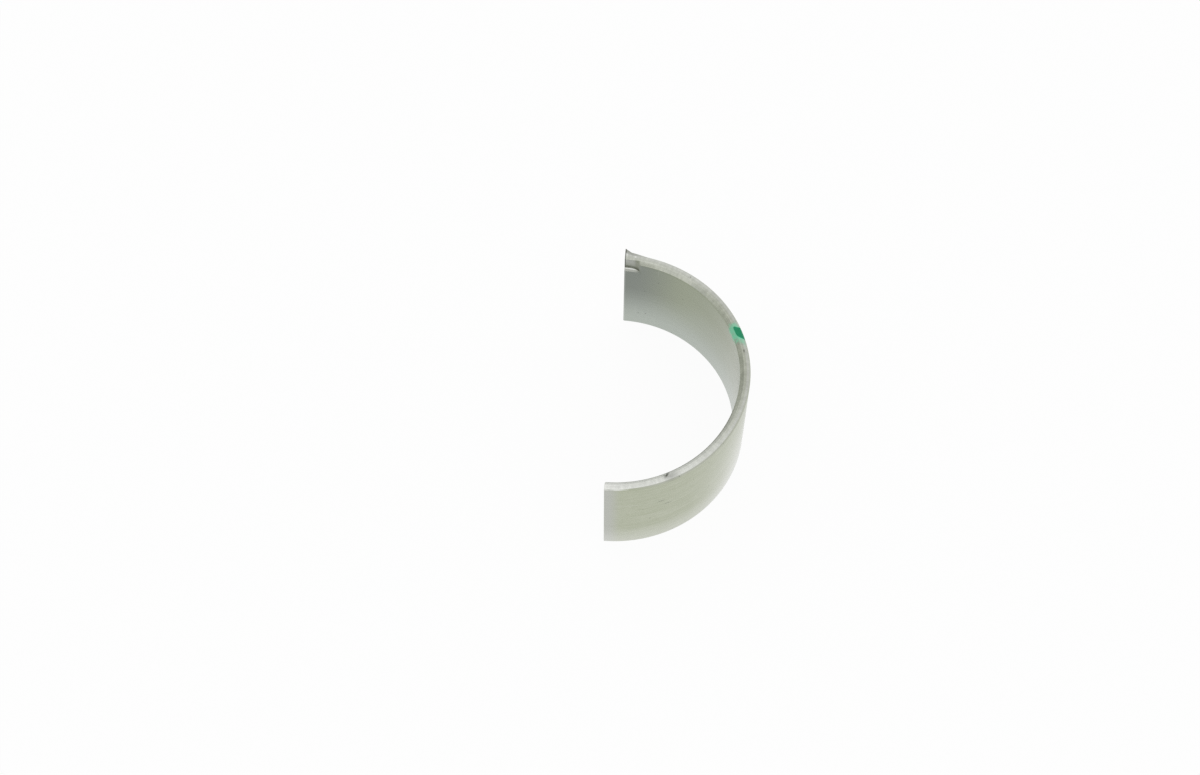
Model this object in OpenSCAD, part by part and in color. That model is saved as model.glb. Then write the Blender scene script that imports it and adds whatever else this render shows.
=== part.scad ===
// Plain half shell of an engine's connecting-rod bearing, drawn as it sits in its housing.
// Z is the bearing axis, X = 0 is the plane where the housing splits, and the shell fills the +X side.

/* [Wall] */
// Diameter of the housing bore that the back of the shell fills
housing_d = 39; // [30:0.5:60]
// Thickness of the wall
wall = 1.5; // [1.4:0.05:2.5]
// Width of the shell along the bearing axis
width = 17.5; // [12:0.5:30]

/* [Rim edges] */
// Bore chamfer on both rims, measured across the rim
bore_chamfer_face = 0.6; // [0.2:0.05:0.8]
// Bore chamfer on both rims, measured down the bore
bore_chamfer_depth = 0.5; // [0.2:0.05:1]
// Chamfer on the back of both rims, at 45 degrees
back_chamfer = 0.2; // [0.1:0.05:0.25]

/* [Joint faces] */
// Bevel on the bore edge of both joint faces
joint_bevel = 0.2; // [0.1:0.05:0.4]

/* [Locating lug] */
// Width of the lug, from the upper rim down to its sheared edge
lug_w = 2.4; // [1.5:0.1:5]
// Length of the lug along the wall, from the joint face to its root in the wall
lug_l = 4.4; // [3:0.1:6]
// How far the tip of the lug stands out of the back at the joint face
lug_h = 1.05; // [0.4:0.05:1.2]
// How far the lug's own upper edge lies below the rim
lug_inset = 0.15; // [0.15:0.05:0.5]
// Depth of the recess behind the lug at the joint face
lug_recess = 0.55; // [0.3:0.05:0.8]

/* [Hidden] */

$fn = 180;
tinned_steel = [0.73, 0.74, 0.69];

back_r = housing_d / 2;
bore_r = back_r - wall;
half_w = width / 2;
// How far the strip is bent past each joint face before the ends are trimmed, in degrees
overbend = 5;

// Section of the strip in radius and height, with the edges of its back already broken
strip_section = [
    [bore_r, -half_w],
    [back_r - back_chamfer, -half_w],
    [back_r, back_chamfer - half_w],
    [back_r, half_w - back_chamfer],
    [back_r - back_chamfer, half_w],
    [bore_r, half_w],
];

// Section of the cutter for the upper bore chamfer: the chamfer's line, carried on by its own length both ways
chamfer_section = [
    [bore_r - bore_chamfer_face, half_w - 2 * bore_chamfer_depth],
    [bore_r + 2 * bore_chamfer_face, half_w + bore_chamfer_depth],
    [bore_r - bore_chamfer_face, half_w + bore_chamfer_depth],
];

// Height of a circle of radius r over the middle plane, at a distance x from the split plane
function arc_y(r, x) = sqrt(r ^ 2 - x ^ 2);

// Point at a distance x from the split plane, on the line through a and b
function on_line(a, b, x) = [x, a[1] + (b[1] - a[1]) * (x - a[0]) / (b[0] - a[0])];

// The lug leaves the wall as a gentle ramp, and turns up at its tip
lug_tip = [0, back_r + lug_h];
tip_l = 0.2 * lug_l;
tip_foot = [tip_l, arc_y(back_r, tip_l) + 0.44 * lug_h];
lug_root = [lug_l, arc_y(back_r, lug_l) - 0.1];

// Plan of the lug, which roots in the middle of the wall
lug_plan = [
    on_line(lug_tip, tip_foot, -tip_l),
    tip_foot,
    lug_root,
    [lug_l, arc_y(back_r - wall / 2, lug_l)],
    [-tip_l, back_r - wall / 2],
];

// The floor of the recess runs nearly level with the wall, then climbs out to the bore
recess_edge = [0, bore_r + lug_recess];
floor_l = 0.38 * lug_l;
floor_end = [floor_l, arc_y(bore_r, floor_l) + 0.85 * lug_recess];
recess_l = 0.58 * lug_l;

// Plan of the punch that leaves the recess
punch_plan = [
    on_line(recess_edge, floor_end, -tip_l),
    floor_end,
    [recess_l, arc_y(bore_r, recess_l) - 0.1],
    [recess_l, bore_r - wall],
    [-tip_l, bore_r - wall],
];

// Turns a section from a little past one joint face to a little past the other
module bent() {
    rotate_extrude(angle = 180 + 2 * overbend, start = -90 - overbend) children();
}

// Stands a plan up from the lug's sheared edge, as high as given
module from_sheared_edge(high) {
    translate([0, 0, half_w - lug_w]) linear_extrude(height = high) children();
}

// The bent strip and the lug that is pressed out of its back to catch in the housing's notch
module strip_with_lug() {
    bent() polygon(strip_section);
    from_sheared_edge(lug_w - lug_inset) polygon(lug_plan);
}

// The recess that the punch leaves on the bore side of the lug, open at the rim
module lug_punch() {
    from_sheared_edge(lug_w + wall) polygon(punch_plan);
}

// The cuts that chamfer the bore at both rims
module bore_chamfers() {
    for (rim = [0, 1])
        mirror([0, 0, rim])
            bent() polygon(chamfer_section);
}

// Squares on edge that bevel the bore edge of each joint face
module joint_bevels() {
    for (end = [-1, 1])
        translate([0, end * bore_r, 0])
            rotate(45)
                cube([sqrt(2) * joint_bevel, sqrt(2) * joint_bevel, 2 * width], center = true);
}

// The half space past the split plane, which trims both joint faces and the lug's end in one cut
module past_split() {
    translate([-housing_d, -housing_d, -width]) cube([housing_d, 2 * housing_d, 2 * width]);
}

// One strip of tinned, lined steel bent to a half round, with its lug pressed out of one corner
module bearing_shell() {
    color(tinned_steel)
        difference() {
            strip_with_lug();
            lug_punch();
            bore_chamfers();
            joint_bevels();
            past_split();
        }
}

bearing_shell();
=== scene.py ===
import math

import bmesh
import bpy
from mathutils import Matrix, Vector


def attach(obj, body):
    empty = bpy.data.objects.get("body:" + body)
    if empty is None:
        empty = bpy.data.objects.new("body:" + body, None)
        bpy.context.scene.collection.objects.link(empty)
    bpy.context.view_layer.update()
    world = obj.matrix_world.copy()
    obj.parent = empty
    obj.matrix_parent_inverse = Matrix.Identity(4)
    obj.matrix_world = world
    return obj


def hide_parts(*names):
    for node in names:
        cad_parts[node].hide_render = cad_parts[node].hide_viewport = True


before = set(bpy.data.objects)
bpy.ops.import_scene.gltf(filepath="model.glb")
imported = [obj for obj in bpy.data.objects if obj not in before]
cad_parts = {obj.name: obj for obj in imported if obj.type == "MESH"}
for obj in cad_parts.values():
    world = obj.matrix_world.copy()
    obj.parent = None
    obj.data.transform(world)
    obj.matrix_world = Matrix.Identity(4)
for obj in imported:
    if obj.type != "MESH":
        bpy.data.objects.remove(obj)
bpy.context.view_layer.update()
scene = bpy.context.scene


# Half shell
# A strip of steel with a thin soft lining, bent to a half round and flashed with tin all over.
# It is bored, faced and chamfered, and one corner is pressed out as the lug that stops it turning.
MM = 0.001
BORE_R, WALL, HALF_W = 18.0, 1.5, 8.75
MID_R = BORE_R + WALL / 2
CHAMFER_FACE, CHAMFER_DEPTH, BACK_CHAMFER = 0.6, 0.5, 0.2
JOINT_BEVEL = 0.2
BROKEN_EDGE, BORE_CORNER = 0.06, 0.2
LUG_W, LUG_L, LUG_H, LUG_RECESS, LUG_INSET = 2.4, 4.4, 1.05, 0.55, 0.05
SHEAR_Z, SHEAR_GAP = HALF_W - LUG_W, 0.09
NICK_AT, NICK_LONG, NICK_WIDE, NICK_DEEP = -20.45, 0.45, 0.35, 0.16
ARC_SAMPLES, CORNER_STEPS = 480, 4
RIM_ZONE, RIM_PITCH = 1, 0.09
WALL_PITCH = 6 * RIM_PITCH


class Wire:
    """A node's output: arithmetic on it adds Math nodes, and node() adds any other node to its tree."""

    def __init__(self, tree, socket=None):
        self.tree = tree
        self.socket = socket

    def node(self, kind, settings, sockets, out=0):
        made = self.tree.nodes.new(kind)
        for name, value in settings.items():
            setattr(made, name, value)
        for name, value in sockets.items():
            if isinstance(value, Wire):
                self.tree.links.new(value.socket, made.inputs[name])
            else:
                made.inputs[name].default_value = value
        return Wire(self.tree, made.outputs[out] if made.outputs else None)

    def math(self, operation, *terms):
        return self.node("ShaderNodeMath", {"operation": operation}, dict(enumerate(terms)))

    def __add__(self, other):
        return self.math("ADD", self, other)

    def __sub__(self, other):
        return self.math("SUBTRACT", self, other)

    def __rsub__(self, other):
        return self.math("SUBTRACT", other, self)

    def __mul__(self, other):
        return self.math("MULTIPLY", self, other)

    def __truediv__(self, other):
        return self.math("DIVIDE", self, other)

    def __gt__(self, other):
        return self.math("GREATER_THAN", self, other)

    __radd__ = __add__
    __rmul__ = __mul__


def rounded(corners):
    """The closed outline through corners, each rounded to its own radius where it has one."""
    outline = []
    for i, (deep, tall, radius) in enumerate(corners):
        here = Vector((deep, tall))
        if not radius:
            outline.append(here)
            continue
        to_last = (Vector(corners[i - 1][:2]) - here).normalized()
        to_next = (Vector(corners[(i + 1) % len(corners)][:2]) - here).normalized()
        half = to_last.angle(to_next) / 2
        centre = here + (to_last + to_next).normalized() * (radius / math.sin(half))
        first = here + to_last * (radius / math.tan(half)) - centre
        last = here + to_next * (radius / math.tan(half)) - centre
        outline += [centre + first.slerp(last, step / CORNER_STEPS).normalized() * radius
                    for step in range(CORNER_STEPS + 1)]
    return outline


def divided(outline):
    """The same outline with its long runs divided, finely at both rims and coarsely down the walls."""
    points = []
    for a, b in zip(outline, outline[1:] + outline[:1]):
        pitch = RIM_PITCH if abs(a.y + b.y) / 2 > HALF_W - RIM_ZONE else WALL_PITCH
        count = max(1, round((b - a).length / pitch))
        points += [a.lerp(b, k / count) for k in range(count)]
    return points


# Each corner of the wall's section: depth from the bore, height, and the radius it is rounded to
wall_section = divided(rounded([
    (0, CHAMFER_DEPTH - HALF_W, BORE_CORNER),
    (CHAMFER_FACE, -HALF_W, BROKEN_EDGE),
    (WALL - BACK_CHAMFER, -HALF_W, BROKEN_EDGE),
    (WALL, BACK_CHAMFER - HALF_W, BROKEN_EDGE),
    (WALL, SHEAR_Z - SHEAR_GAP, 0),
    (WALL, SHEAR_Z + SHEAR_GAP, 0),
    (WALL, HALF_W - BACK_CHAMFER, BROKEN_EDGE),
    (WALL - BACK_CHAMFER, HALF_W, BROKEN_EDGE),
    (CHAMFER_FACE, HALF_W, BROKEN_EDGE),
    (0, HALF_W - CHAMFER_DEPTH, BORE_CORNER),
    (0, SHEAR_Z + SHEAR_GAP, 0),
    (0, SHEAR_Z - SHEAR_GAP, 0),
]))

press_sizes = {
    "Samples": ("NodeSocketInt", ARC_SAMPLES),
    "Bore Radius": ("NodeSocketFloat", BORE_R),
    "Wall": ("NodeSocketFloat", WALL),
    "Shear Height": ("NodeSocketFloat", SHEAR_Z),
    "Lug Width": ("NodeSocketFloat", LUG_W),
    "Lug Length": ("NodeSocketFloat", LUG_L),
    "Lug Height": ("NodeSocketFloat", LUG_H),
    "Lug Recess": ("NodeSocketFloat", LUG_RECESS),
    "Lug Inset": ("NodeSocketFloat", LUG_INSET),
    "Chamfer Face": ("NodeSocketFloat", CHAMFER_FACE),
    "Joint Bevel": ("NodeSocketFloat", JOINT_BEVEL),
    "Broken Edge": ("NodeSocketFloat", BROKEN_EDGE),
    "Finish": ("NodeSocketMaterial", None),
}
press = bpy.data.node_groups.new("bend_and_press", "GeometryNodeTree")
press.interface.new_socket("Section", in_out="INPUT", socket_type="NodeSocketGeometry")
for label, (kind, _) in press_sizes.items():
    press.interface.new_socket(label, in_out="INPUT", socket_type=kind)
press.interface.new_socket("Shell", in_out="OUTPUT", socket_type="NodeSocketGeometry")
size = {s.name: Wire(press, s) for s in press.nodes.new("NodeGroupInput").outputs if s.name}
build = Wire(press)


def vector(**axes):
    return build.node("ShaderNodeCombineXYZ", {}, axes)


def moved(geometry, offset):
    return build.node("GeometryNodeSetPosition", {}, {"Geometry": geometry, "Offset": offset})


def stored(geometry, label, value):
    """The same geometry with a value kept at each point, for the material to read."""
    return build.node("GeometryNodeStoreNamedAttribute", {"data_type": "FLOAT", "domain": "POINT"},
                      {"Geometry": geometry, "Name": label, "Value": value})


# The bore's arc, with its samples crowded towards the joint faces
part_way = build.node("GeometryNodeInputIndex", {}, {}) / (size["Samples"] - 1)
angle = build.math("COSINE", part_way * math.pi) * (-math.pi / 2)
arc = build.node("GeometryNodeSetPosition", {}, {
    "Geometry": build.node("GeometryNodeMeshLine", {}, {"Count": size["Samples"]}),
    "Position": vector(X=build.math("COSINE", angle) * size["Bore Radius"],
                       Y=build.math("SINE", angle) * size["Bore Radius"]),
})
arc = build.node("GeometryNodeMeshToCurve", {}, {"Mesh": arc})
arc = build.node("GeometryNodeSetCurveNormal", {"mode": "Z_UP"}, {"Curve": arc})
shell = build.node("GeometryNodeCurveToMesh", {}, {
    "Curve": arc,
    "Profile Curve": build.node("GeometryNodeMeshToCurve", {}, {"Mesh": size["Section"]}),
})

# Each point keeps its place in the strip, so that its finish follows the metal into the lug
position = build.node("GeometryNodeInputPosition", {}, {})
x, y, z = (build.node("ShaderNodeSeparateXYZ", {}, {"Vector": position}, out=axis) for axis in "XYZ")
radius = build.math("SQRT", x * x + y * y)
shell = stored(shell, "around", build.math("ARCTAN2", y, x) * MID_R)
shell = stored(shell, "through", radius - size["Bore Radius"])
shell = stored(shell, "height", z)
around, through, height = (
    build.node("GeometryNodeInputNamedAttribute", {"data_type": "FLOAT"}, {"Name": label})
    for label in ("around", "through", "height"))
in_lug = (height > size["Shear Height"]) * (y > 0)

# One knock has left a nick across the inner edge of the upper rim
nick = build.math("MAXIMUM", 1 - build.math("ABSOLUTE", around - NICK_AT) / NICK_LONG, 0)
nick = nick * build.math("MAXIMUM", 1 - build.math("ABSOLUTE", through - size["Chamfer Face"]) / NICK_WIDE, 0)
shell = moved(shell, vector(Z=nick * (height > 0) * -NICK_DEEP))

# The edges of both joint faces are broken, and the bore edge is bevelled where no lug is.
# The swept faces are still turned inwards here, so their normals point into the wall
near_joint = build.math("MAXIMUM", 1 - x / size["Broken Edge"], 0)
broken = size["Broken Edge"] * (1 - build.math("SQRT", 1.0001 - near_joint * near_joint))
into_wall = build.node("GeometryNodeInputNormal", {}, {})
shell = moved(shell, build.node("ShaderNodeVectorMath", {"operation": "SCALE"}, {0: into_wall, "Scale": broken}))
bevelled = build.math("MAXIMUM", size["Joint Bevel"] + size["Bore Radius"] - x - radius, 0) * (1 - in_lug)
shell = moved(shell, vector(Y=bevelled * build.math("SIGN", y)))

# The punch leaves a recess with a nearly level floor, and swings the back out in a ramp that turns up at its tip.
# Its lengths are shares of the lug's length
FLOOR_FALL, RECESS_LONG, RECESS_CLIMB = 0.4, 0.58, 0.24
RAMP_LONG, TIP_LONG, TIP_LIFT = 0.75, 0.22, 0.42
FLOOR_EASE, RAMP_EASE = 0.5, 0.4
from_joint = x / size["Lug Length"]
level = 1 - from_joint * FLOOR_FALL
climb = (RECESS_LONG - from_joint) / RECESS_CLIMB
floor_run = build.math("SMOOTH_MAX", build.math("SMOOTH_MIN", level, climb, FLOOR_EASE), 0, FLOOR_EASE)
back_run = build.math("SMOOTH_MAX", 1 - from_joint / RAMP_LONG, 0, RAMP_EASE)
tip = build.math("MAXIMUM", 1 - from_joint / TIP_LONG, 0)
lifted = size["Lug Height"] * (back_run * (1 - TIP_LIFT) + tip * TIP_LIFT)
off_chamfer = (through - size["Chamfer Face"]) / (size["Wall"] - size["Chamfer Face"])
off_chamfer = build.math("MAXIMUM", off_chamfer, 0)
swing = build.math("MAXIMUM", size["Lug Recess"] * floor_run - through, lifted * off_chamfer)
swing = build.math("MAXIMUM", swing, 0) * in_lug
drag = (height - size["Shear Height"]) / size["Lug Width"] * size["Lug Inset"] * back_run * in_lug
shell = stored(shell, "pressed", floor_run * in_lug)
shell = moved(shell, vector(Y=swing, Z=drag * -1))
shell = build.node("GeometryNodeTransform", {}, {"Geometry": shell, "Scale": (MM, MM, MM)})
shell = build.node("GeometryNodeRealizeInstances", {}, {"Geometry": shell})
shell = build.node("GeometryNodeSetMaterial", {}, {"Geometry": shell, "Material": size["Finish"]})
build.node("NodeGroupOutput", {}, {"Shell": shell})

# The lining in the bore: high up, painted lighter low down as light off the floor, and painted shade towards the
# joint faces
LINING = (0.296, 0.324, 0.240, 1)
LINING_PAINTED_LIT = (0.425, 0.462, 0.418, 1)
LINING_PAINTED_SHADE = (0.218, 0.238, 0.212, 1)
# The tin on the back: its two shades, at the joint faces, and painted lighter low down as light off the floor
TIN = (0.462, 0.488, 0.380, 1)
TIN_DULL = (0.410, 0.440, 0.325, 1)
TIN_END = (0.485, 0.490, 0.480, 1)
TIN_PAINTED_LIT = (0.760, 0.768, 0.735, 1)
# The rims: the inner and outer half of the faced flat, the bore chamfer, and the outer edge, painted darker as
# shade over its highlight
FACED_INNER = (0.395, 0.412, 0.345, 1)
FACED_OUTER = (0.470, 0.482, 0.440, 1)
CHAMFER_DULL = (0.330, 0.352, 0.285, 1)
CHAMFER_CLEAN = (0.450, 0.470, 0.385, 1)
EDGE_PAINTED_SHADE = (0.450, 0.462, 0.415, 1)
# The recess behind the lug, painted darker as shade on its lower side and as shadow at its far end, and the
# sheared ledge, painted as a highlight on top and as shade in front
PUNCHED = (0.380, 0.392, 0.360, 1)
PUNCHED_PAINTED_SHADE = (0.300, 0.315, 0.270, 1)
RECESS_PAINTED_SHADOW = (0.245, 0.258, 0.208, 1)
LEDGE_PAINTED_HIGHLIGHT = (0.930, 0.935, 0.910, 1)
LEDGE_PAINTED_SHADE = (0.420, 0.435, 0.395, 1)
# What handling left, mixed with painted highlights and painted shade
BRIGHT_WEAR_AND_HIGHLIGHT = (0.730, 0.740, 0.705, 1)
GRIME_AND_SHADE = (0.070, 0.076, 0.058, 1)
MINT_WASH = (0.170, 0.600, 0.370, 1)
OIL_ROUGHNESS = 0.3
# Single marks: their place along the strip and across it, and how far they reach each way, in mm
CHAMFER_SHADOW_SPOT = (26.2, 0.20, 3.2, 0.5)
BRIGHT_SPOTS = (29.2, 1.0, 0.22, 0.25), (27.9, 1.0, 0.25, 0.22)
SMUDGES = (-21.5, 2.95, 0.80, 0.20), (-20.5, 1.55, 1.0, 0.18)
RIM_SPOT = (4.35, 0.87, 0.42, 0.24)
NICK_TRAIL = (NICK_AT + 0.5, 0.9, 1.6, 0.9)


def emptied(owner):
    """Clears the nodes of a new material or world, and returns the wire to build its own with."""
    owner.use_nodes = True
    owner.node_tree.nodes.clear()
    return Wire(owner.node_tree)


def place_in_mm(look):
    return look.node("ShaderNodeVectorMath", {"operation": "SCALE"}, {
        0: look.node("ShaderNodeTexCoord", {}, {}, out="Object"), "Scale": 1 / MM}, out="Vector")


def rise(value, low, high):
    """Goes smoothly from 0 at low to 1 at high, whichever of them is the larger."""
    return value.node("ShaderNodeMapRange", {"interpolation_type": "SMOOTHSTEP"},
                      {"Value": value, "From Min": low, "From Max": high})


def close_to(value, centre, reach):
    """1 at the centre, and falls smoothly to 0 at its reach to either side."""
    return rise(value.math("ABSOLUTE", value - centre), reach, 0)


def blend(mask, colour, other):
    """The colour where the mask is 0, and the other where it is 1."""
    return mask.node("ShaderNodeMix", {"data_type": "RGBA"}, {0: mask, 6: colour, 7: other}, out=2)


def grain(place, scale, detail=2, roughness=0.5):
    return place.node("ShaderNodeTexNoise", {}, {
        "Vector": place, "Scale": scale, "Detail": detail, "Roughness": roughness})


tinned = bpy.data.materials.new("tinned_steel")
look = emptied(tinned)
along, deep, tall, punched = (
    look.node("ShaderNodeAttribute", {"attribute_name": label}, {}, out="Fac")
    for label in ("around", "through", "height", "pressed"))
spot = place_in_mm(look)
from_split = look.node("ShaderNodeSeparateXYZ", {}, {"Vector": spot}, out="X")
edge_on = look.math("ABSOLUTE", tall)


def strip(along_scale, deep_scale, tall_scale):
    """Coordinates along, through and across the strip, in mm, stretched for a pattern that follows the work."""
    return along.node("ShaderNodeCombineXYZ", {}, {
        "X": along * along_scale, "Y": deep * deep_scale, "Z": tall * tall_scale})


def mark(across, place):
    """One soft mark on the strip, where across is the way that its second measure counts."""
    at_along, at_across, long, wide = place
    return close_to(along, at_along, long) * close_to(across, at_across, wide)


# Where each of the strip's faces lies, by distances in mm
lined = rise(deep, 0.05, 0.02)
backed = rise(deep, WALL - BACK_CHAMFER - 0.02, WALL - BACK_CHAMFER + 0.04)
faced = rise(edge_on, HALF_W - 0.07, HALF_W - 0.02)
split = rise(from_split, 0.012, 0.004)
turned = (1 - lined) * (1 - backed)
upper_rim = rise(tall, 8, 8.3)

# The patterns that casting, rolling and cutting left in the metal
cloudy = grain(spot, 0.4, 4, 0.6)
mottle = grain(spot, 1.7, 4, 0.6)
matt = grain(spot, 11)
bored_lines = grain(strip(0.03, 0, 9), 1, 3, 0.7)
faced_lines = grain(strip(0.05, 16, 9), 1, 3, 0.7)
chatter = grain(strip(2.6, 1.1, 1.1), 1, 3, 0.6)
rolled_lines = grain(strip(0.07, 0, 3.0), 1, 4, 0.7)
broached_lines = grain(strip(0, 14, 0.08), 1, 3, 0.6)

# The lining, the tin and the turned rims
# Painted shade darkens the lining towards the joint faces; painted light off the floor lightens it low down and a
# little at mid height
lining = blend(rise(from_split, 10, 1), LINING, LINING_PAINTED_SHADE)
lining = blend(rise(tall, 3, -8), lining, LINING_PAINTED_LIT)
lining = blend(close_to(tall, 0.8, 4) * rise(from_split, 7, 13) * 0.2, lining, LINING_PAINTED_LIT)
tin = blend(rise(cloudy * 0.2 + mottle * 0.15 + rolled_lines * 0.65, 0.42, 0.60), TIN_DULL, TIN)
tin = blend(rise(from_split, 2.6, 0.4) * 0.7, tin, TIN_END)
# Painted light: the tin is lighter low down, as light off the floor
tin = blend(rise(tall, -3, -9) * 0.45, tin, TIN_PAINTED_LIT)
chamfered = blend(rise(faced_lines * 0.4 + cloudy * 0.6, 0.40, 0.60), CHAMFER_DULL, CHAMFER_CLEAN)
faced_metal = blend(rise(deep, 0.75, 1.15), FACED_INNER, FACED_OUTER)
colour = blend(lined, chamfered, lining)
colour = blend(backed, colour, tin)
colour = blend(faced, colour, faced_metal)
# Painted shade: the rim's outer edge is darkened away from the front joint, over the highlight it would catch
outer_edge_painted_shade = rise(deep, 1.12, 1.24) * rise(edge_on, 8.45, 8.55) * rise(along, -28, -22)
colour = blend(outer_edge_painted_shade * 0.6, colour, EDGE_PAINTED_SHADE)
colour = blend(split, colour, FACED_OUTER)

# The rims are painted lighter towards both ends, as a painted highlight
end_painted_light = rise(along, 0, -20) * 0.75 + rise(along, -25, -29) * 0.25 + rise(along, 11, 20) * 0.3
colour = blend(end_painted_light * rise(edge_on, 8.25, 8.4) * (1 - backed), colour, BRIGHT_WEAR_AND_HIGHLIGHT)

# The punch's recess, painted with shade low down and shadow at its far end, and a painted shadow on the chamfer
# past its end
recess = rise(punched, 0.02, 0.5) * rise(deep, 0.62, 0.50) * (1 - split)
recess_colour_and_shade = blend(rise(tall, SHEAR_Z + 0.5, HALF_W - 0.35), PUNCHED_PAINTED_SHADE, PUNCHED)
recess_colour_and_shade = blend(rise(punched, 0.92, 0.68), recess_colour_and_shade, RECESS_PAINTED_SHADOW)
colour = blend(recess, colour, recess_colour_and_shade)
colour = blend(mark(deep, CHAMFER_SHADOW_SPOT) * rise(tall, 7.9, 8.3) * 0.5, colour, RECESS_PAINTED_SHADOW)

# The patterns lighten and darken all of it
grained = ((bored_lines - 0.5) * lined * 0.5 + (matt - 0.5) * 0.35 + (mottle - 0.5) * 0.25
           + (faced_lines * 0.8 + chatter * 0.9 - 0.85) * turned)
colour = look.node("ShaderNodeVectorMath", {"operation": "SCALE"},
                   {0: colour, "Scale": 1 + grained * 0.5}, out="Vector")

# Bright metal: worn inner edges of the rims' flats, a painted glint on the outer edge near the front joint, rubs
# on the back, scores, and two bright spots on the lug
edge_wear_and_glint = (close_to(deep, CHAMFER_FACE, 0.12) * 0.3 * rise(punched, 0.1, 0)
             + close_to(deep, WALL - 0.1, 0.16) * rise(along, -24, -28) * 1.5) * rise(edge_on, 8.45, 8.6)
rubs = rise(grain(strip(0.10, 0.5, 2.6), 1), 0.66, 0.78) * backed
scores = rise(grain(strip(1.9, 1.9, 0.10), 1), 0.70, 0.78)
bright_spots = (mark(deep, BRIGHT_SPOTS[0]) + mark(deep, BRIGHT_SPOTS[1])) * upper_rim
wear_and_glints = edge_wear_and_glint * rise(cloudy, 0.42, 0.6) * 0.7 + rubs * 0.30 + scores * 0.15 + bright_spots
wear_and_glints = look.math("MINIMUM", wear_and_glints, 1)
colour = blend(wear_and_glints, colour, BRIGHT_WEAR_AND_HIGHLIGHT)

# The ledge where the lug was sheared from the wall, painted as a highlight on its top and as shade on its front
ledge = (rise(look.math("ABSOLUTE", tall - SHEAR_Z), SHEAR_GAP, SHEAR_GAP * 0.9)
         * rise(along, 27.0, 28.2) * rise(deep, 0.1, 0.05) * (1 - split))
colour = blend(ledge, colour, blend(rise(tall, SHEAR_Z, SHEAR_Z + SHEAR_GAP), LEDGE_PAINTED_SHADE, LEDGE_PAINTED_HIGHLIGHT))

# Thin paint that spread from the grade mark, with an uneven edge
uneven = (mottle - 0.5) * 2.4 + (matt - 0.5) * 0.5
wash = (rise(along + deep * 0.9 + uneven, 5.9, 7.1) * rise(along + uneven, 9.6, 8.2)
        * rise(tall + uneven, 7.2, 8.3) * rise(deep, 1.6, 0.9))
colour = blend(wash * 0.85, colour, MINT_WASH)

# Dirt and painted shade: dirt specks, two smudges on the back and a spot on the rim; darker at the knock on the
# rim and along a trail beside it, along the lug's joint edge and at its tip; and painted shade along the bore's
# corner
speck_cells = look.node("ShaderNodeTexVoronoi", {"feature": "F1"}, {
    "Vector": spot, "Scale": 0.62, "Randomness": 1.0})
specks = rise(speck_cells, 0.10, 0.05) * rise(mottle, 0.50, 0.58)
smudge = (mark(tall, SMUDGES[0]) + mark(tall, SMUDGES[1])) * backed
knock = close_to(along + deep * 0.9, NICK_AT + 0.45, 0.45) * close_to(deep, 0.45, 0.60)
rim_marks = ((mark(deep, RIM_SPOT) * 0.8 + knock + mark(deep, NICK_TRAIL) * 0.45)
            * upper_rim * rise(chatter, 0.22, 0.48))
lug_edge = rise(punched, 0.90, 0.97) * rise(from_split, 0.25, 0.08) * (1 - split)
lug_tip = rise(along, 25.8, 28.6) * rise(deep, 1.02, 1.2) * rise(tall, 8.45, 8.65) * (1 - split)
# Painted shade along the corner between the bore and its chamfer
bore_corner_shade = (close_to(deep, 0.06, 0.22) * rise(edge_on, 8.0, 8.15)
               * rise(along, 2, -8) * (0.25 + rise(along, -25, -17) * 0.2))
dirt_and_shade = (specks * 0.45 + smudge * 0.5 + rim_marks * 0.85
         + lug_edge * 0.7 + lug_tip * 0.35 + bore_corner_shade)
dirt_and_shade = look.math("MINIMUM", dirt_and_shade, 1)
colour = blend(dirt_and_shade, colour, GRIME_AND_SHADE)

# A thin film of oil, thickest low on the back
oiled = backed * rise(tall, 10, -6) * rise(along, -18, -6)

# Heights in mm
relief = (bored_lines * lined * 0.003 + rolled_lines * backed * 0.0025 + faced_lines * turned * 0.006
          + broached_lines * split * 0.003 + matt * 0.001 + mottle * 0.003 - scores * 0.002 - specks * 0.006)
roughness = (0.28 - lined * 0.02 - faced * 0.05 + (mottle - 0.5) * 0.14 + (matt - 0.5) * 0.10
             - wear_and_glints * 0.06 + dirt_and_shade * 0.3 + wash * 0.15 + ledge * 0.12)
tinned_face = look.node("ShaderNodeBsdfPrincipled", {}, {
    "Base Color": colour,
    "Metallic": 1 - dirt_and_shade * 0.6 - wash * 0.6 - ledge * 0.3,
    "Roughness": roughness,
    "Coat Weight": oiled,
    "Coat Roughness": OIL_ROUGHNESS,
    "Normal": look.node("ShaderNodeBump", {}, {"Strength": 1.0, "Distance": MM, "Height": relief}),
})
look.node("ShaderNodeOutputMaterial", {}, {"Surface": tinned_face})

# The section is laid out upside down, because the sweep turns it over
half_shell = bpy.data.objects.new("half_shell", bpy.data.meshes.new("wall_section"))
half_shell.data.from_pydata([(p.x, -p.y, 0) for p in wall_section],
                            [(i, (i + 1) % len(wall_section)) for i in range(len(wall_section))], [])
scene.collection.objects.link(half_shell)
bend = half_shell.modifiers.new("bend_and_press", "NODES")
bend.node_group = press
press_sizes["Finish"] = ("NodeSocketMaterial", tinned)
for socket in press.interface.items_tree:
    if socket.in_out == "INPUT" and socket.name in press_sizes:
        bend[socket.identifier] = press_sizes[socket.name][1]
pressed = bpy.data.meshes.new_from_object(half_shell.evaluated_get(bpy.context.evaluated_depsgraph_get()))
half_shell.modifiers.remove(bend)
half_shell.data = pressed

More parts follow.
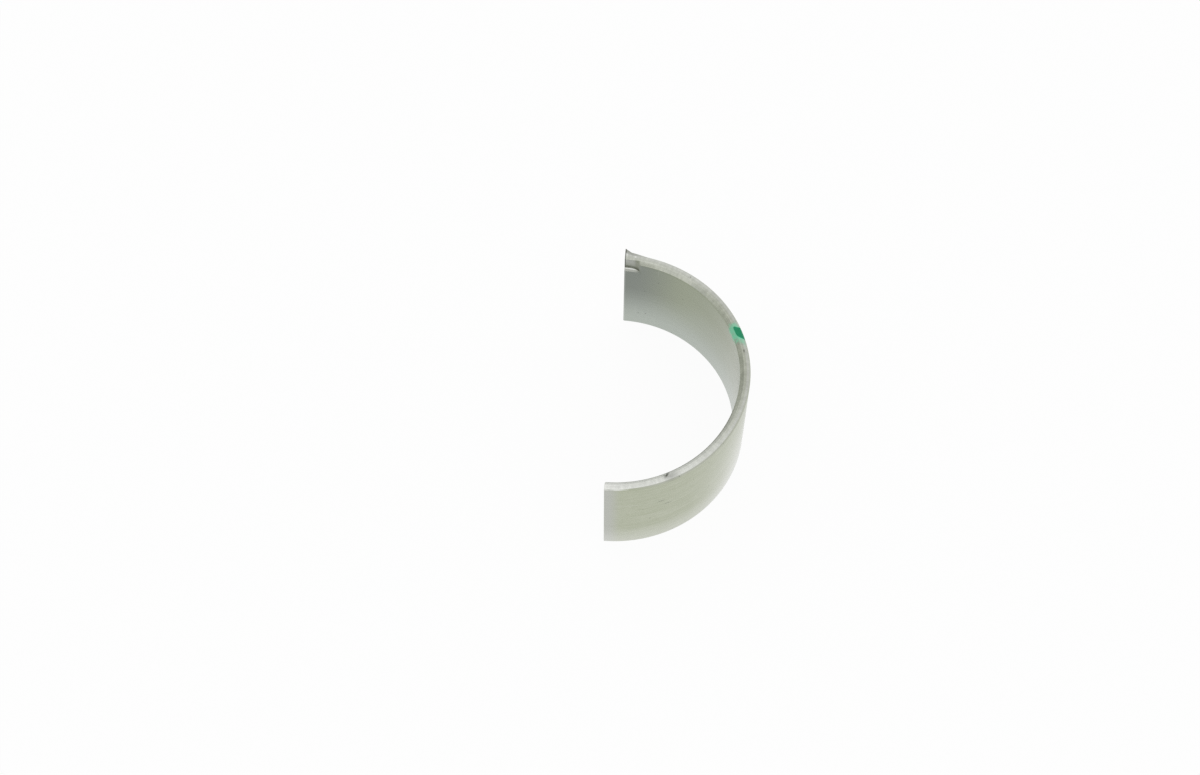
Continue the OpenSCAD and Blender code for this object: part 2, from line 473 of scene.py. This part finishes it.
# The sweep leaves both joint faces open
SHARP_EDGE = math.radians(35)
work = bmesh.new()
work.from_mesh(pressed)
bmesh.ops.holes_fill(work, edges=[e for e in work.edges if e.is_boundary], sides=0)
bmesh.ops.triangulate(work, faces=[f for f in work.faces if len(f.verts) > 4])
bmesh.ops.recalc_face_normals(work, faces=work.faces)
for face in work.faces:
    face.smooth = True
work.to_mesh(pressed)
work.free()
pressed.set_sharp_from_angle(angle=SHARP_EDGE)
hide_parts("bearing_shell")
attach(half_shell, "root")


# Grade mark
# A dab of thin green paint that shows the size grade, put on the upper rim by hand with a brush.
# It lies over the rim's flat and its outer edge, and a little of it has run onto the bore chamfer.
PAINT, PAINT_THIN = (0.008, 0.255, 0.115, 1), (0.040, 0.430, 0.225, 1)
DAB_INNER, DAB_DROP, DAB_PINCH = 0.40, 0.45, 0.77
DAB_FILM, DAB_TUCK, DAB_BED, DAB_BANK = 0.035, 0.008, 0.02, 0.30
DAB_COLUMNS = 56
# Degrees round the shell where the dab starts and ends, at the back and at the bore side
DAB_START, DAB_END = (17.2, 22.0), (25.2, 26.6)
# How far the brush wavered there in degrees, how often, and where in its wave it was at the back
START_WAVER, END_WAVER = (0.35, 5.1, 0.6), (0.30, 7.3, 2.1)
# The brush's ridges: their share of the film, and how fast they come round the shell and across the rim
RIDGE_SHARE, RIDGE_TURN, RIDGE_ACROSS = 0.18, 1.9, 6


def brushed_to(ends, waver, across):
    wide, often, phase = waver
    return ends[0] + (ends[1] - ends[0]) * across + wide * math.sin(often * across + phase)


dab_path = [p for p in wall_section if p.y > HALF_W - DAB_DROP and p.x > DAB_INNER]
dab_run = [0.0]
for a, b in zip(dab_path, dab_path[1:]):
    dab_run.append(dab_run[-1] + (b - a).length)
work = bmesh.new()
cover = work.verts.layers.float.new("cover")
film, bed = [], []
for j, p in enumerate(dab_path):
    before, after = dab_path[max(j - 1, 0)], dab_path[min(j + 1, len(dab_path) - 1)]
    heading = (after - before).normalized()
    out = Vector((heading.y, -heading.x))
    across = dab_run[j] / dab_run[-1]
    pinch = DAB_PINCH * abs(2 * across - 1) ** 4
    first = brushed_to(DAB_START, START_WAVER, across) + pinch
    last = brushed_to(DAB_END, END_WAVER, across) - pinch
    to_end = min(dab_run[j], dab_run[-1] - dab_run[j])
    film.append([])
    bed.append([])
    for i in range(DAB_COLUMNS + 1):
        turn = first + (last - first) * i / DAB_COLUMNS
        to_side = math.radians(min(turn - first, last - turn)) * MID_R
        bank = min(1, min(to_side, to_end) / DAB_BANK)
        bank = bank * (2 - bank)
        ridge = 1 + RIDGE_SHARE * math.sin(RIDGE_TURN * turn + RIDGE_ACROSS * across)
        thick = DAB_FILM * bank * ridge - DAB_TUCK * (1 - bank)
        for layer, lift in ((film, thick), (bed, -DAB_BED)):
            if layer is bed and bank == 0:
                bed[j].append(film[j][i])
                continue
            r = BORE_R + p.x + out.x * lift
            vert = work.verts.new((r * math.cos(math.radians(turn)) * MM, r * math.sin(math.radians(turn)) * MM,
                                   (p.y + out.y * lift) * MM))
            vert[cover] = bank
            layer[j].append(vert)
for layer in (film, bed):
    for row, next_row in zip(layer, layer[1:]):
        for i in range(DAB_COLUMNS):
            work.faces.new((row[i], row[i + 1], next_row[i + 1], next_row[i]))
bmesh.ops.recalc_face_normals(work, faces=work.faces)
for face in work.faces:
    face.smooth = True

paint = bpy.data.materials.new("grade_paint")
look = emptied(paint)
spot = place_in_mm(look)
covering = look.node("ShaderNodeAttribute", {"attribute_name": "cover"}, {}, out="Fac")
brushed = grain(spot, 3.2, 4, 0.6)
skin = grain(spot, 14)
opaque = rise(covering * 0.7 + brushed * 0.5, 0.35, 0.95)
painted_face = look.node("ShaderNodeBsdfPrincipled", {}, {
    "Base Color": blend(opaque, PAINT_THIN, PAINT),
    "Roughness": 0.45 + (brushed - 0.5) * 0.2,
    "Specular IOR Level": 0.3,
    "Normal": look.node("ShaderNodeBump", {}, {
        "Strength": 1.0, "Distance": MM, "Height": brushed * 0.010 + skin * 0.002}),
})
look.node("ShaderNodeOutputMaterial", {}, {"Surface": painted_face})

grade_mark = bpy.data.objects.new("grade_mark", bpy.data.meshes.new("grade_mark"))
work.to_mesh(grade_mark.data)
work.free()
grade_mark.data.materials.append(paint)
scene.collection.objects.link(grade_mark)
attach(grade_mark, "root")


# Floor
# A white sheet under the shell, which stands on its lower rim.
# It shows nearly pure white, and keeps a faint part of the shell's shadow.
FLOOR_REACH = 2.0
FLOOR_GLOW = 0.94
SHEET_WHITE, PURE_WHITE = (0.90, 0.90, 0.90, 1), (1, 1, 1, 1)


def seen(look):
    """1 on rays from the camera, from gloss or through glass, and 0 on those that only carry light."""
    by_eye, in_gloss, through_glass = (
        look.node("ShaderNodeLightPath", {}, {}, out=ray)
        for ray in ("Is Camera Ray", "Is Glossy Ray", "Is Transmission Ray"))
    return look.math("MINIMUM", by_eye + in_gloss + through_glass, 1)


sheet = bpy.data.materials.new("white_sheet")
look = emptied(sheet)
look.node("ShaderNodeOutputMaterial", {}, {"Surface": look.node("ShaderNodeMixShader", {}, {
    0: seen(look) * FLOOR_GLOW,
    1: look.node("ShaderNodeBsdfDiffuse", {}, {"Color": SHEET_WHITE}),
    2: look.node("ShaderNodeEmission", {}, {"Color": PURE_WHITE, "Strength": 1.0}),
})})
floor = bpy.data.objects.new("floor", bpy.data.meshes.new("floor"))
floor.data.from_pydata([(sx * FLOOR_REACH, sy * FLOOR_REACH, -HALF_W * MM)
                        for sx, sy in ((-1, -1), (1, -1), (1, 1), (-1, 1))], [], [(0, 1, 2, 3)])
floor.data.materials.append(sheet)
scene.collection.objects.link(floor)


# Light
# A white tent all round, a little darker low on the left, and one soft panel overhead.
# The panel is longer from front to back than across, so that it shows along the turned lines of the rim.
TENT_FILL, TENT_SHADE = 0.88, 0.4
PANEL_SIZE, PANEL_AT, PANEL_RADIANCE = (0.25, 0.75), (0, -0.225, 0.7), 0.35

tent = bpy.data.worlds.new("white_tent")
look = emptied(tent)
direction = look.node("ShaderNodeTexCoord", {}, {}, out="Generated")
to_right, upward = (look.node("ShaderNodeSeparateXYZ", {}, {"Vector": direction}, out=axis) for axis in "XZ")
shade = 1 - rise(to_right, -0.1, -0.9) * rise(upward, 0.6, 0.0) * TENT_SHADE
look.node("ShaderNodeOutputWorld", {}, {"Surface": look.node("ShaderNodeBackground", {}, {
    "Color": PURE_WHITE, "Strength": (TENT_FILL + seen(look) * (1 - TENT_FILL)) * shade})})
scene.world = tent
panel = bpy.data.objects.new("panel", bpy.data.lights.new("panel", "AREA"))
panel.data.shape = "RECTANGLE"
panel.data.size, panel.data.size_y = PANEL_SIZE
panel.data.energy = PANEL_RADIANCE * math.pi * PANEL_SIZE[0] * PANEL_SIZE[1]
panel.location = PANEL_AT
scene.collection.objects.link(panel)


# Camera
# Stands in front of and well above the shell, and looks down at its bore, its upper rim and part of its back.
# It aims beside the shell, which stands right of the middle of the picture.
VIEW_AZIMUTH, VIEW_ELEVATION, VIEW_DISTANCE = math.radians(4.7154), math.radians(61.3784), 0.2902488
VIEW_TARGET = Vector((-2.6563, 6.1227, -8.75)) * MM
VIEW_LENS, VIEW_SENSOR, VIEW_NEAR = 56.758, 36, 0.001

camera = bpy.data.objects.new("camera", bpy.data.cameras.new("camera"))
camera.data.sensor_fit = "HORIZONTAL"
camera.data.sensor_width = VIEW_SENSOR
camera.data.lens = VIEW_LENS
camera.data.clip_start = VIEW_NEAR
towards = Vector((math.sin(VIEW_AZIMUTH) * math.cos(VIEW_ELEVATION),
                  -math.cos(VIEW_AZIMUTH) * math.cos(VIEW_ELEVATION), math.sin(VIEW_ELEVATION)))
camera.location = VIEW_TARGET + towards * VIEW_DISTANCE
camera.rotation_euler = (math.pi / 2 - VIEW_ELEVATION, 0, VIEW_AZIMUTH)
scene.collection.objects.link(camera)
scene.camera = camera
scene.view_settings.view_transform = "Standard"
